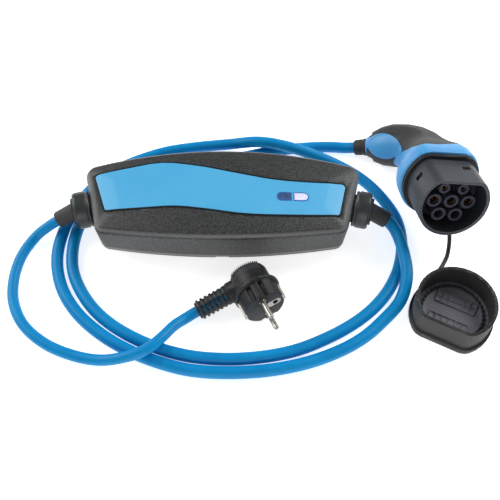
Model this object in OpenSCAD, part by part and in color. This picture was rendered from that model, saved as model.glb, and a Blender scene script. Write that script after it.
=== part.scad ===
// Portable charger for electric cars: a control box on a lead, with a mains plug on the left side
// and a vehicle connector with its cap on the right side. The box stands on z = 0, long side along X.

/* [Housing] */
// Length of the far edge, corner to corner before rounding
housing_far_length = 262; // [236:1:290]
// Length of the near edge, corner to corner before rounding
housing_near_length = 226; // [204:1:234]
// Depth from the near edge to the far edge at the middle
housing_depth = 101; // [92:0.5:116]
// How far the far edge bows out between its corners
far_bow = 17.5; // [13:0.5:20]
// How far the near edge bows out between its corners
near_bow = 10.5; // [8:0.5:13]
// Corner radius of the outline, seen from above
corner_r = 11; // [8:0.5:14]
// Height of the joint between the two shells
parting_z = 15.5; // [15:0.25:18]
// Height of the wall at the middle of the long sides
rim_height = 45.5; // [42:0.5:54]
// How far the wall top falls towards the corners
rim_drop = 6; // [3:0.5:7]
// Radius of the rounded top edge
edge_r = 6; // [4:0.5:8]
// Rise of the top face from its edge to its middle
crown = 2.5; // [1:0.25:4]
// Wall thickness of both shells
wall = 3.2; // [2.6:0.1:3.8]
// How far the walls lean in at the joint
draft = 2.5; // [1.5:0.25:3]
// How far the tray of the lower shell stands back from the outline
tray_inset = 12; // [10:0.5:14]
// Height of the rim around the lower shell
rim_t = 3.2; // [2.8:0.1:4]

/* [Panel and lights] */
// Distance from the outline's ends to the inlay panel
panel_margin = 11; // [9:0.5:16]
// Depth of the pocket that holds the panel
panel_t = 1.7; // [1.2:0.1:1.9]
// Gap around the panel
panel_gap = 0.8; // [0.4:0.1:1.2]
// Radius of the panel's corners
panel_corner_r = 4; // [2:0.5:5]
// How far the panel and its windows stand out of the top face
panel_proud = 0.3; // [0.1:0.1:0.6]
// Length of one light window
window_w = 13; // [10:0.5:16]
// Width of one light window
window_d = 8.6; // [7:0.2:10]
// Place of the middle between the two windows, from the box centre
window_x = 64.5; // [58:0.5:72]

/* [Glands] */
// Height of the cable glands
gland_z = 29.5; // [29:0.5:32]
// Diameter of the outer gland nut
gland_nut_d = 34.5; // [30:0.5:36]
// Length of the outer gland nut
gland_nut_l = 15; // [12:0.5:20]
// Diameter of the threaded gland body
gland_body_d = 20; // [18:0.5:21]
// Outer diameter of the bend sleeves
sleeve_d = 16; // [14.5:0.5:18]
// Length of the bend sleeves past the elbow
sleeve_l = 16; // [12:0.5:20]
// Angle at which the bend sleeves point down
sleeve_bend = 28; // [15:1:35]

/* [Cables] */
// Diameter of the charging cable
charge_d = 11.3; // [9:0.1:11.4]
// Diameter of the mains lead
mains_d = 10; // [8:0.1:10.2]
// Diameter of the cap's lanyard
lanyard_d = 3.9; // [3:0.1:4.2]

/* [Mains plug] */
// Diameter of the plug's front
plug_d = 37.5; // [35:0.5:39]
// Depth of the plug's front, from its face to the flange
plug_front = 17; // [14:0.5:20]
// Diameter of the flange behind the front
plug_flange_d = 43; // [40:0.5:43]
// Depth of the plug's rear body
plug_rear = 22; // [20:0.5:25]
// Pin diameter
pin_d = 4.8; // [4:0.1:5]
// Pin length in front of the face
pin_l = 19; // [16:0.5:21]
// Distance between the pins
pin_pitch = 19; // [17:0.5:21]
// Length of the slotted sleeve on the mains lead
plug_sleeve_l = 32; // [28:1:34]
// Diameter of the slotted sleeve
plug_sleeve_d = 17; // [15.5:0.5:18]

/* [Vehicle connector] */
// Radius of the connector's shroud
shroud_r = 32; // [30:0.5:33]
// Distance from the shroud's axis to its flat
shroud_flat = 24.5; // [23:0.5:26]
// Length of the shroud in front of the gasket
shroud_l = 37; // [33:0.5:42]
// Wall thickness of the shroud
shroud_wall = 3; // [2:0.2:3.4]
// Depth of the space in front of the contact towers
tower_recess = 8; // [5:0.5:11]
// Distance between the power contacts
contact_pitch = 16; // [15:0.25:17]
// Bore of the power contacts
contact_bore = 6; // [5:0.25:6.5]
// Radius of the blue body behind the gasket
body_r = 37.5; // [36:0.5:39]
// Radius of the handle at its middle
handle_r = 21.5; // [19:0.5:23]
// Length of the handle, from the gasket to the cable boot
handle_l = 119; // [115:1:123]
// Angle by which the handle bends away behind the shroud
handle_bend = 66; // [60:1:70]
// Side to which the handle bends, as a turn about the shroud from straight down
handle_turn = -68; // [-72:1:-64]
// Thickness of the soft grip
grip_t = 2; // [1.4:0.1:2.6]

/* [Cap] */
// Radius of the cap's wall
cap_r = 35; // [34:0.5:38]
// Distance from the cap's axis to its flat
cap_flat = 28; // [26:0.5:30]
// Height of the cap
cap_h = 30; // [24:0.5:36]
// Wall thickness of the cap
cap_wall = 3; // [2:0.2:3.6]

/* [Hidden] */
$fn = 48;

plastic_grey = "#3c3d3d";
plastic_black = "#232527";
soft_black = "#303132";
panel_blue = "#4fb0e0";
cable_blue = "#0a82ba";
metal = "#b9bcbe";
copper = "#b5763f";

clearance = 0.15;
epsilon = 0.01;

function unit(v) = v / norm(v);
function mirrored(list) = [for (i = [len(list) - 1:-1:0]) [-list[i].x, list[i].y]];

// Outline of the box: two bowed long sides and two straight slanted ends, rounded where they meet
half_depth = housing_depth / 2;
far_corner = [housing_far_length / 2, half_depth - far_bow];
near_corner = [housing_near_length / 2, near_bow - half_depth];
far_radius = (pow(far_corner.x, 2) + pow(far_bow, 2)) / (2 * far_bow);
near_radius = (pow(near_corner.x, 2) + pow(near_bow, 2)) / (2 * near_bow);
far_centre = [0, half_depth - far_radius];
near_centre = [0, near_radius - half_depth];
end_along = unit(far_corner - near_corner);
end_normal = [end_along.y, -end_along.x];
end_angle = atan2(end_normal.y, end_normal.x);
end_middle = (far_corner + near_corner) / 2;

side_steps = 7;
corner_steps = 5;
half_count = side_steps + corner_steps + 1;

// Centre of the fillet between an end and a long side, for an outline set in by d
function fillet_centre(d, r, arc_centre, arc_radius, way) =
    let (start = near_corner - end_normal * (d + r),
         w = start - arc_centre,
         b = w * end_along,
         reach = way * sqrt(b * b - w * w + pow(arc_radius - d - r, 2)) - b)
    start + reach * end_along;

function arc(centre, r, from, to, steps) =
    [for (i = [0:steps]) let (a = from + (to - from) * i / steps) centre + r * [cos(a), sin(a)]];

// Points of the right half, from the middle of the near side round to the middle of the far side
function half_outline(d, r) =
    let (near = fillet_centre(d, r, near_centre, near_radius, -1),
         far = fillet_centre(d, r, far_centre, far_radius, 1),
         to_near = near - near_centre,
         to_far = far - far_centre,
         near_angle = atan2(to_near.y, to_near.x),
         far_angle = atan2(to_far.y, to_far.x),
         near_side = arc(near_centre, near_radius - d, -90, near_angle, side_steps),
         near_turn = arc(near, r, near_angle, end_angle, corner_steps),
         far_turn = arc(far, r, end_angle, far_angle, corner_steps),
         far_side = arc(far_centre, far_radius - d, far_angle, 90, side_steps))
    concat([for (i = [0:side_steps - 1]) near_side[i]], near_turn, far_turn,
           [for (i = [1:side_steps]) far_side[i]]);

function outline(d, r) =
    let (right = half_outline(d, r), left = mirrored(right))
    concat(right, [for (i = [1:len(left) - 2]) left[i]]);

// Height of the wall top, lower towards the box's ends
function rim_at(x) = rim_height - rim_drop * pow(x / far_corner.x, 2);

// One ring of a shell: set in by d, at height z above the floor, or above the wall top
function floor_ring(d, r, z) = [for (p = outline(d, r)) [p.x, p.y, z]];
function rim_ring(d, z) =
    [for (p = outline(d, max(corner_r - d, min_corner_r))) [p.x, p.y, rim_at(p.x) + z]];
min_corner_r = 3;

// Rows of faces between rings of n points: back to the first ring when closed, inside out when turned
function side_faces(rings, n, closed = false, turn = false) = [
    for (j = [0:rings - (closed ? 1 : 2)], i = [0:n - 1])
        let (next = (j + 1) % rings * n, k = (i + 1) % n,
             a = j * n + i, b = j * n + k, c = next + i, d = next + k)
        each turn ? [[a, b, c], [b, d, c]] : [[a, c, b], [b, c, d]]
];

// Faces that close the two ends of a shell from side to side
function strip_quads(first) =
    let (k = half_count, near = function(i) first + i, far = function(i) first + 2 * k - 1 - i,
         far_left = function(i) first + 2 * k - 1 + i,
         near_left = function(i) first + (i == 0 ? 0 : 4 * k - 2 - i))
    concat([for (i = [0:k - 2]) [near(i), near(i + 1), far(i + 1), far(i)]],
           [for (i = [0:k - 2]) [near_left(i), far_left(i), far_left(i + 1), near_left(i + 1)]]);
function bottom_strip(first) = [for (q = strip_quads(first)) each [[q[0], q[1], q[2]], [q[0], q[2], q[3]]]];
function top_strip(first) = [for (q = strip_quads(first)) each [[q[2], q[1], q[0]], [q[3], q[2], q[0]]]];

module shell_loft(rings) {
    n = len(rings[0]);
    polyhedron(points = [for (r = rings) each r],
               faces = concat(side_faces(len(rings), n), bottom_strip(0), top_strip((len(rings) - 1) * n)));
}

edge_angles = [20, 40, 60, 76];
shoulder_inset = 14;
table_inset = 25;

// Outer form of the upper shell, or its cavity when set in by the wall
module upper_form(d, lower_z) {
    shell_loft(concat(
        [floor_ring(draft + d, max(corner_r - draft - d, min_corner_r), lower_z)],
        [rim_ring(d, -d)],
        [for (a = edge_angles) rim_ring(d + edge_r * (1 - cos(a)), edge_r * sin(a) - d)],
        [rim_ring(shoulder_inset + d, edge_r + crown * 0.6 - d)],
        [rim_ring(table_inset + d, edge_r + crown - d)]
    ));
}

// A slice of the top face: from depth below it to proud above it
module top_slice(depth, proud) {
    intersection() {
        children();
        difference() {
            translate([0, 0, proud]) upper_form(0, parting_z);
            translate([0, 0, -depth]) upper_form(0, parting_z);
        }
    }
}

// Screw places: bosses on the lower shell below, posts in the upper shell above
screw_places = [
    for (side = [-1, 1]) each [
        [side * (far_corner.x - 39), far_corner.y - 13],
        [side * (near_corner.x - 27), near_corner.y + 17],
    ]
];
screw_pilot_d = 3.4;
screw_head_d = 7;
screw_seat_z = 8;
screw_l = 17;
post_d = 9;
boss_d = 11;
boss_top = 12;
head_clear = 0.4;

// Glands sit on a round flat cut into each slanted end
gland_seat = draft;
gland_pad_d = 27.5;
gland_pad_in = gland_seat + 4;
gland_flange_d = 26.5;
gland_flange_t = 3.5;
gland_stub_in = gland_pad_in + 7;

module at_gland(side) {
    mirror([side < 0 ? 1 : 0, 0, 0])
        translate([end_middle.x, end_middle.y, gland_z])
            rotate([0, 0, end_angle]) rotate([0, 90, 0]) children();
}

module upper_shell() color(plastic_grey) {
    difference() {
        union() {
            difference() {
                upper_form(0, parting_z);
                translate([0, 0, -epsilon]) upper_form(wall, parting_z - epsilon);
            }
            intersection() {
                upper_form(wall / 2, boss_top);
                union() {
                    for (p = screw_places)
                        translate([p.x, p.y, boss_top]) cylinder(d = post_d, h = rim_height);
                }
            }
            intersection() {
                upper_form(wall / 2, parting_z);
                for (side = [-1, 1]) at_gland(side)
                    translate([0, 0, -gland_pad_in]) cylinder(d = gland_pad_d, h = gland_pad_in);
            }
        }
        difference() {
            translate([0, 0, parting_z]) linear_extrude(rim_height) panel_outline(panel_gap);
            translate([0, 0, -panel_t]) upper_form(0, parting_z - panel_t);
        }
        for (p = screw_places)
            translate([p.x, p.y, boss_top - 1]) cylinder(d = screw_pilot_d, h = screw_l);
        for (side = [-1, 1]) at_gland(side) {
            translate([0, 0, -gland_seat]) cylinder(d = gland_flange_d + 2 * clearance, h = gland_seat + 4);
            translate([0, 0, -gland_pad_in - 1])
                cylinder(d = gland_body_d + 2 * clearance, h = gland_pad_in + 2);
        }
    }
}

tray_corner_r = 16;
tray_floor = 3;
tray_wall = 3;
rim_inset = draft + 0.2;
gasket_inset = rim_inset + 0.9;
gasket_w = 1.5;
gasket_t = 1.2;
notch_w = 12;
notch_h = 1.6;

module rim_prism(inset, r, low, high) {
    shell_loft([floor_ring(inset, r, low), floor_ring(inset, r, high)]);
}

module lower_shell() color(plastic_grey) {
    difference() {
        union() {
            difference() {
                shell_loft([
                    floor_ring(tray_inset + 2.2, tray_corner_r, 0),
                    floor_ring(tray_inset + 0.4, tray_corner_r, 1.4),
                    floor_ring(tray_inset, tray_corner_r, parting_z - rim_t - 0.2),
                    floor_ring(rim_inset + 0.6, corner_r - rim_inset, parting_z - rim_t),
                    floor_ring(rim_inset, corner_r - rim_inset, parting_z),
                ]);
                rim_prism(tray_inset + tray_wall, tray_corner_r - tray_wall, tray_floor, parting_z + 1);
            }
            for (p = screw_places)
                translate([p.x, p.y, tray_floor / 2]) cylinder(d = boss_d, h = boss_top - tray_floor / 2);
            for (p = board_feet)
                translate([p.x, p.y, tray_floor / 2])
                    cylinder(d = board_foot_d, h = board_z - tray_floor / 2);
        }
        for (p = screw_places) translate([p.x, p.y, -1]) {
            cylinder(d = screw_head_d + 2 * head_clear, h = screw_seat_z + 1);
            cylinder(d = screw_pilot_d + 2 * head_clear, h = boss_top + 2);
        }
        difference() {
            rim_prism(gasket_inset, corner_r - gasket_inset, parting_z - gasket_t, parting_z + 1);
            translate([0, 0, -1]) rim_prism(gasket_inset + gasket_w, corner_r - gasket_inset - gasket_w,
                                            parting_z - gasket_t, parting_z + 3);
        }
        translate([-notch_w / 2, -half_depth - 1, parting_z - rim_t - 1])
            cube([notch_w, rim_inset + 2.5, notch_h + 1]);
    }
}

module housing_gasket() color(soft_black) {
    difference() {
        rim_prism(gasket_inset + clearance, corner_r - gasket_inset - clearance,
                  parting_z - gasket_t, parting_z);
        translate([0, 0, -1]) rim_prism(gasket_inset + gasket_w - clearance,
                                        corner_r - gasket_inset - gasket_w + clearance,
                                        parting_z - gasket_t, parting_z + 2);
    }
}

module housing_screws() color(metal) {
    for (p = screw_places) translate([p.x, p.y, screw_seat_z]) difference() {
        union() {
            translate([0, 0, -3]) cylinder(d = screw_head_d, h = 3);
            cylinder(d = screw_pilot_d - 0.1, h = screw_l - 3);
        }
        translate([0, 0, -4]) cylinder(d = 3, h = 2.6, $fn = 6);
    }
}

// S-shaped panel: its long edges run through a few points, set in from the box's outline
panel_half = far_corner.x - panel_margin;
panel_upper = [[-1, 0.42], [-0.74, 0.55], [-0.47, 0.66], [-0.19, 0.56], [0.11, 0.39],
               [0.39, 0.25], [0.66, 0.2], [0.96, 0.2]];
panel_lower = [[0.89, -0.52], [0.63, -0.55], [0.32, -0.56], [0.11, -0.53], [-0.1, -0.45],
               [-0.35, -0.375], [-0.6, -0.4], [-0.88, -0.42]];
panel_steps = 3;

// Smooth curve through a list of points
function spline_at(p, i, t) =
    let (a = p[max(i - 1, 0)], b = p[i], c = p[i + 1], d = p[min(i + 2, len(p) - 1)])
    (2 * b + (c - a) * t + (2 * a - 5 * b + 4 * c - d) * t * t + (3 * b - a - 3 * c + d) * t * t * t) / 2;
function spline(p, steps) = concat(
    [for (i = [0:len(p) - 2], s = [0:steps - 1]) spline_at(p, i, s / steps)], [p[len(p) - 1]]);

// Rounds the corners of an outline where it turns sharply, with tangent arcs
function round_corner(before, corner, after, r) =
    let (a = unit(before - corner), b = unit(after - corner), half = acos(a * b) / 2,
         reach = r / tan(half), centre = corner + unit(a + b) * r / sin(half),
         start = corner + a * reach - centre, stop = corner + b * reach - centre,
         from = atan2(start.y, start.x), turn = atan2(stop.y, stop.x) - from,
         sweep = turn > 180 ? turn - 360 : turn < -180 ? turn + 360 : turn)
    arc(centre, r, from, from + sweep, corner_steps);

function panel_points() =
    let (fit = [panel_half, half_depth],
         top = [for (p = spline(panel_upper, panel_steps)) [p.x * fit.x, p.y * fit.y]],
         low = [for (p = spline(panel_lower, panel_steps)) [p.x * fit.x, p.y * fit.y]],
         n = len(top) - 1, m = len(low) - 1, r = panel_corner_r)
    concat(round_corner(low[m], top[0], top[1], r), [for (i = [1:n - 1]) top[i]],
           round_corner(top[n - 1], top[n], low[0], r), round_corner(top[n], low[0], low[1], r),
           [for (i = [1:m - 1]) low[i]], round_corner(low[m - 1], low[m], top[0], r));

// Moves each point of an outline outwards along its normal
function grown(points, by) = [
    for (i = [0:len(points) - 1])
        let (along = unit(points[(i + 1) % len(points)] - points[(i + len(points) - 1) % len(points)]))
        points[i] + by * [-along.y, along.x]
];

module panel_outline(by) polygon(grown(panel_points(), by));

window_gap = 2.4;
window_y = -7.5;

module window_outline(side, by) {
    inner = window_gap / 2;
    translate([window_x, window_y]) mirror([side < 0 ? 1 : 0, 0]) {
        translate([inner - by, -window_d / 2 - by])
            square([window_w - window_d / 2 + by, window_d + 2 * by]);
        translate([inner + window_w - window_d / 2, 0]) circle(d = window_d + 2 * by);
    }
}

module inlay_panel() color(panel_blue) {
    difference() {
        top_slice(panel_t, panel_proud)
            translate([0, 0, parting_z]) linear_extrude(rim_height) panel_outline(0);
        translate([0, 0, parting_z]) linear_extrude(rim_height)
            for (side = [-1, 1]) window_outline(side, clearance);
    }
}

module status_window(side) {
    top_slice(panel_t, panel_proud + 0.2)
        translate([0, 0, parting_z]) linear_extrude(rim_height) window_outline(side, 0);
}

module status_window_left() color("#2c6fb0") status_window(-1);
module status_window_right() color("#dceefc") status_window(1);

// Electronics on one board, which rests on feet in the tray
board_w = 150;
board_d = 44;
board_t = 1.6;
board_z = 9;
board_foot_d = 6;
board_feet = [for (x = [-1, 1], y = [-1, 1]) [x * (board_w / 2 - 6), y * (board_d / 2 - 5)]];
board_top = board_z + board_t;

module circuit_board() color("#2f6b45")
    translate([-board_w / 2, -board_d / 2, board_z]) cube([board_w, board_d, board_t]);

relay_size = [30, 16, 20];
relay_at = [14, 10];
relay_edge = 1.5;
module relays() color("#202427")
    for (y = [-1, 1]) translate([relay_at.x, y * relay_at.y - relay_size.y / 2, board_top]) {
        cube(relay_size);
        translate([relay_edge, relay_edge, relay_size.z])
            cube([relay_size.x - 2 * relay_edge, relay_size.y - 2 * relay_edge, 1]);
    }

module current_sensor() color("#1b1b1d")
    translate([-14, 0, board_top]) difference() {
        union() {
            translate([-5, -8, 0]) cube([10, 16, 6]);
            translate([0, 0, 11]) rotate([0, 90, 0]) cylinder(d = 21, h = 10, center = true);
        }
        translate([0, 0, 11]) rotate([0, 90, 0]) cylinder(d = 12, h = 12, center = true);
    }

module power_supply() color("#c9b44a")
    translate([-52, -12, board_top]) {
        cube([26, 24, 5]);
        translate([3, 4, 5]) cube([20, 16, 12]);
    }

module terminal_row(count) {
    pitch = 8;
    for (i = [0:count - 1]) translate([0, (i - count / 2) * pitch, 0]) difference() {
        cube([11, pitch, 11]);
        translate([5.5, pitch / 2, 5]) cylinder(d = 4, h = 8);
    }
}

mains_terminals_x = 4 - board_w / 2;
charging_terminals_x = board_w / 2 - 15;
module mains_terminals() color("#3b7d5a") translate([mains_terminals_x, 0, board_top]) terminal_row(3);
module charging_terminals() color("#3b7d5a")
    translate([charging_terminals_x, 0, board_top]) terminal_row(5);

// Gland pieces along the gland's own axis, which points out of the box
gland_nut_z = 1;
elbow_z = gland_nut_z + gland_nut_l + 2;
sleeve_base_d = 25;

module gland_body(cable_d) difference() {
    union() {
        translate([0, 0, -gland_stub_in]) cylinder(d = gland_body_d, h = gland_stub_in + 9);
        translate([0, 0, -gland_seat]) cylinder(d = gland_flange_d, h = gland_flange_t);
    }
    translate([0, 0, -gland_stub_in - 1]) cylinder(d = cable_d + 1, h = gland_stub_in + 20);
    translate([0, 0, 3]) cylinder(d = gland_body_d - 3.4, h = 20);
}

module gland_locknut() difference() {
    translate([0, 0, -gland_pad_in - 5]) cylinder(d = 25.5, h = 5, $fn = 6);
    translate([0, 0, -gland_pad_in - 6]) cylinder(d = gland_body_d + 2 * clearance, h = 7);
}

module gland_nut(cable_d) rotate_extrude() {
    inner = gland_body_d / 2 + clearance;
    outer = gland_nut_d / 2;
    top = gland_nut_z + gland_nut_l;
    polygon([[inner, gland_nut_z], [outer - 1.4, gland_nut_z], [outer - 0.4, gland_nut_z + 1],
             [outer - 0.4, gland_nut_z + 2], [outer - 1, gland_nut_z + 2.4], [outer - 1, gland_nut_z + 3.2],
             [outer, gland_nut_z + 3.8], [outer, top - 2.6], [outer - 0.4, top - 1.2], [outer - 1.4, top],
             [cable_d / 2 + 1.2, top], [cable_d / 2 + 1.2, top - 3], [inner, top - 5]]);
}

module gland_seal(cable_d) difference() {
    translate([0, 0, 3]) cylinder(d = gland_body_d - 3.4 - 2 * clearance, h = 7);
    translate([0, 0, 2]) cylinder(d = cable_d + 2 * clearance, h = 9);
}

module bend_sleeve(cable_d) {
    top = gland_nut_z + gland_nut_l;
    difference() {
        union() {
            translate([0, 0, top]) cylinder(d = sleeve_base_d, h = elbow_z - top);
            translate([0, 0, elbow_z]) rotate([0, sleeve_bend, 0])
                translate([0, 0, -sleeve_d / 2]) cylinder(d = sleeve_d, h = sleeve_l + sleeve_d / 2);
        }
        translate([0, 0, top - sleeve_d]) cylinder(d = sleeve_d * 3, h = sleeve_d);
        translate([0, 0, top - 1]) cylinder(d = cable_d + 2.4, h = elbow_z - top + 1);
        translate([0, 0, elbow_z]) rotate([0, sleeve_bend, 0])
            translate([0, 0, -sleeve_d / 4])
                cylinder(d = cable_d + 2 * sleeve_clear, h = sleeve_l + sleeve_d);
    }
}
sleeve_clear = 0.6;

module left_gland_body() color(plastic_black) at_gland(-1) gland_body(mains_d);
module left_gland_locknut() color(plastic_black) at_gland(-1) gland_locknut();
module left_gland_nut() color(plastic_black) at_gland(-1) gland_nut(mains_d);
module left_gland_seal() color(soft_black) at_gland(-1) gland_seal(mains_d);
module left_bend_sleeve() color(soft_black) at_gland(-1) bend_sleeve(mains_d);
module right_gland_body() color(plastic_black) at_gland(1) gland_body(charge_d);
module right_gland_locknut() color(plastic_black) at_gland(1) gland_locknut();
module right_gland_nut() color(plastic_black) at_gland(1) gland_nut(charge_d);
module right_gland_seal() color(soft_black) at_gland(1) gland_seal(charge_d);
module right_bend_sleeve() color(soft_black) at_gland(1) bend_sleeve(charge_d);

// Cord routes, from the inside of the gland to the far end
charge_route = [
    [108, 0, 29.5], [139.5, -7.8, 29.5], [153.4, -11.3, 22], [162, -22, 18.6], [167, -46, 17.8],
    [167.5, -70, 15.2], [160, -91.5, 8.6], [142, -111, 5.7], [125, -126, 5.7], [104, -138.5, 5.7],
    [76, -149.5, 5.7], [44, -156.5, 5.7], [10, -159, 5.7], [-24, -157, 5.7], [-54, -149, 5.7],
    [-82, -137, 5.7], [-108, -120.5, 5.7], [-130, -100, 5.7], [-146, -75, 5.7], [-154, -46, 5.7],
    [-153, -17, 5.7], [-145, 12, 5.7], [-131, 38, 5.7], [-111, 60, 5.7], [-86, 75, 5.7],
    [-58, 86, 5.7], [-27, 92, 5.7], [5, 93, 9], [34, 89, 17.2], [62, 82.5, 18], [92, 75, 12],
    [119, 64, 6.5], [140, 47, 5.7], [156, 25, 5.7], [167, 0, 5.7], [169, -28, 5.7], [164, -53, 5.7],
    [153, -76, 5.7], [137, -96, 5.7], [117, -112.5, 5.7], [93, -126.5, 5.7], [66, -138, 5.7],
    [36, -144.5, 5.7], [4, -146.5, 5.7], [-28, -143.5, 5.7], [-58, -134.5, 5.7], [-86, -120.5, 5.7],
    [-109, -103, 5.7], [-126, -82, 5.7], [-137.5, -58, 5.7], [-141, -32, 5.7], [-138, -6, 5.7],
    [-130, 15, 5.7], [-115, 35, 5.7], [-95, 50, 5.7], [-68, 60, 5.7], [-36, 66, 5.7], [-4, 72, 5.7],
    [24, 80, 5.7], [52, 87, 5.7], [78, 90.5, 5.7], [98, 92, 5.7], [112, 91.8, 5.7], [123, 90, 6.8],
    [133, 87.6, 10], [145.1, 85, 14.1], [157.1, 82.3, 18.2]
];
mains_route = [
    [-107, 0.3, 29.5], [-139.5, -7.8, 29.5], [-153.4, -11.3, 22], [-166, -15, 14.5],
    [-178, -22, 7.5], [-188, -41, 5.1], [-191, -66, 5.1], [-187, -91, 5.1], [-174, -114, 5.1],
    [-152, -132, 5.1], [-126, -143, 5.1], [-102, -148.5, 8], [-80, -149, 15.5], [-62, -143, 18],
    [-50, -131, 16.5], [-41, -117, 10.5], [-31.5, -107.5, 6.6], [-20.9, -100.9, 7.9],
    [7.2, -87.3, 15], [21, -80.5, 18.5]
];
lanyard_route = [
    [208.6, -4.7, 18.1], [209.4, -11.2, 20.6], [210.2, -17.5, 22.2], [211, -24, 21],
    [211.6, -30, 16], [211.7, -34.5, 9.5], [211, -39, 4.2], [209, -43.5, 2.2], [205.8, -49, 2],
    [202.6, -54, 2.4], [201.1, -58.8, 3], [201.6, -64.6, 3]
];

// Closed tube along a route, with one ring of points at each point of the route
function along_at(route, i) = unit(route[min(i + 1, len(route) - 1)] - route[max(i - 1, 0)]);
function tube_ring(route, i, d, sides) =
    let (t = along_at(route, i), across = unit(cross([0, 0, 1], t)), up = cross(t, across))
    [for (k = [0:sides - 1]) let (a = 360 * (k + 0.5) / sides)
        route[i] + d / 2 * (cos(a) * across + sin(a) * up)];

module cord_tube(route, d, sides) {
    n = len(route);
    polyhedron(points = [for (i = [0:n - 1]) each tube_ring(route, i, d, sides)],
               faces = concat(side_faces(n, sides), [[for (k = [0:sides - 1]) k]],
                              [[for (k = [sides - 1:-1:0]) (n - 1) * sides + k]]));
}

module mains_lead() color(cable_blue) cord_tube(mains_route, mains_d, 10);
module charging_cable() color(cable_blue) cord_tube(charge_route, charge_d, 10);
module cap_lanyard() color(plastic_black) cord_tube(lanyard_route, lanyard_d, 8);

// Places a piece by its own frame: +X forward, turned by heading, lifted by pitch and rolled about itself
module posed(place, heading, pitch, roll) {
    translate(place) rotate([0, -pitch, heading]) rotate([roll, 0, 0]) children();
}

// Round outline with one flat on top, rounded where the flat starts
flat_steps = 5;
round_steps = 14;
function flat_round(r, flat, corner) =
    let (up = flat - corner, out = sqrt(pow(r - corner, 2) - up * up), start = atan2(up, out),
         right = concat(arc([0, 0], r, -90, start, round_steps),
                        [for (i = [1:flat_steps]) let (a = start + (90 - start) * i / flat_steps)
                            [out, up] + corner * [cos(a), sin(a)]]),
         left = mirrored(right))
    concat(right, [for (i = [0:len(left) - 2]) left[i]]);

module flat_prism(r, flat, corner, from, to)
    translate([from, 0, 0]) rotate([90, 0, 90])
        linear_extrude(to - from) polygon(flat_round(r, flat, corner));

// Mains plug, in its own frame: pins along +X, cable outlet along -Z
plug_place = [39, -106, 24.2];
plug_heading = -66;
plug_pitch = 8;
plug_roll = -77;
pin_root = 9;
pin_root_d = pin_d + 1.2;
pin_collar = 0.3;
pin_tip = 1.2;
earth_bore_d = 4.9;
earth_y = 10;

module at_plug() posed(plug_place, plug_heading, plug_pitch, plug_roll) children();

plug_axis_x = -plug_front - 3 - plug_rear / 2;
plug_neck_d = plug_sleeve_d + 3;
plug_neck_z = plug_flange_d / 2 + 0.5;

module plug_body() color(plastic_black) at_plug() difference() {
    union() {
        translate([-plug_front - 1, 0, 0]) rotate([0, 90, 0]) rotate_extrude()
            polygon([[0, 0], [plug_d / 2, 0], [plug_d / 2, plug_front], [plug_d / 2 - 1, plug_front + 1],
                     [0, plug_front + 1]]);
        translate([-plug_front - 3, 0, 0]) rotate([0, 90, 0]) rotate_extrude()
            polygon([[0, 0], [plug_flange_d / 2 - 1, 0], [plug_flange_d / 2, 1], [plug_flange_d / 2, 3],
                     [plug_flange_d / 2 - 1, 4], [0, 4]]);
        translate([-plug_front - 3 - plug_rear, 0, 0]) rotate([0, 90, 0]) rotate_extrude()
            polygon([[0, 0], [plug_d / 2 - 6, 0], [plug_d / 2 - 2, 3], [plug_d / 2 - 1, 6],
                     [plug_d / 2 - 1, plug_rear + 1], [0, plug_rear + 1]]);
        translate([plug_axis_x, 0, -plug_neck_z]) cylinder(d = plug_neck_d, h = plug_neck_z);
    }
    for (side = [-1, 1]) {
        translate([-pin_root, side * pin_pitch / 2, 0]) rotate([0, 90, 0])
            cylinder(d = pin_root_d + 2 * clearance, h = pin_root + 1);
        for (turn = [-1, 1]) translate([-plug_front + 1, side * (plug_d / 2 - 1.6) - 2, turn * 5.5 - 1.9])
            cube([plug_front + 2, 4, 3.8]);
        translate([-plug_front + 0.5, -4, side * (plug_d / 2) - 1.3]) cube([plug_front + 1, 8, 2.6]);
    }
    translate([-1, -3.6, 2]) cube([2, 7.2, 13.2]);
    translate([-14, 0, earth_y]) rotate([0, 90, 0]) cylinder(d = earth_bore_d, h = 20);
    translate([plug_axis_x, 0, -plug_neck_z - 1]) cylinder(d = mains_d + 2 * sleeve_clear, h = 20);
}

module plug_pins() color(metal) at_plug()
    for (side = [-1, 1]) translate([-pin_root, side * pin_pitch / 2, 0]) rotate([0, 90, 0]) rotate_extrude()
        polygon([[0, 0], [pin_root_d / 2, 0], [pin_root_d / 2, pin_root + pin_collar],
                 [pin_d / 2, pin_root + pin_collar], [pin_d / 2, pin_root + pin_l - pin_tip],
                 [pin_d / 2 - 1, pin_root + pin_l], [0, pin_root + pin_l]]);

module plug_earth_clips() color(metal) at_plug() {
    difference() {
        translate([-1, -3.5, 2.1]) cube([1, 7, 13]);
        translate([-2, 0, earth_y]) rotate([0, 90, 0]) cylinder(d = earth_bore_d, h = 4);
    }
    for (side = [-1, 1]) translate([-plug_front + 0.7, -3.5, side * (plug_d / 2) - 1.2])
        cube([plug_front - 1.2, 7, 2.4]);
}

slot_count = 6;
slot_w = 2.2;

module plug_bend_sleeve() color(plastic_black) at_plug()
    translate([plug_axis_x, 0, -plug_neck_z]) mirror([0, 0, 1]) difference() {
        union() {
            cylinder(d1 = plug_sleeve_d + 1, d2 = plug_sleeve_d - 1.5, h = plug_sleeve_l);
            for (i = [0:slot_count]) translate([0, 0, 3 + i * slot_pitch - slot_w / 2])
                cylinder(d = plug_sleeve_d + 1.2, h = slot_w);
        }
        translate([0, 0, -1]) cylinder(d = mains_d + 2 * sleeve_clear, h = plug_sleeve_l + 2);
        for (i = [0:slot_count - 1], turn = [0, 90])
            rotate([0, 0, 45 + turn])
                translate([-plug_sleeve_d, -4, 3 + (i + 0.5) * slot_pitch - slot_w / 2])
                    cube([plug_sleeve_d * 2, 8, slot_w]);
    }
slot_pitch = (plug_sleeve_l - 6) / slot_count;

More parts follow.
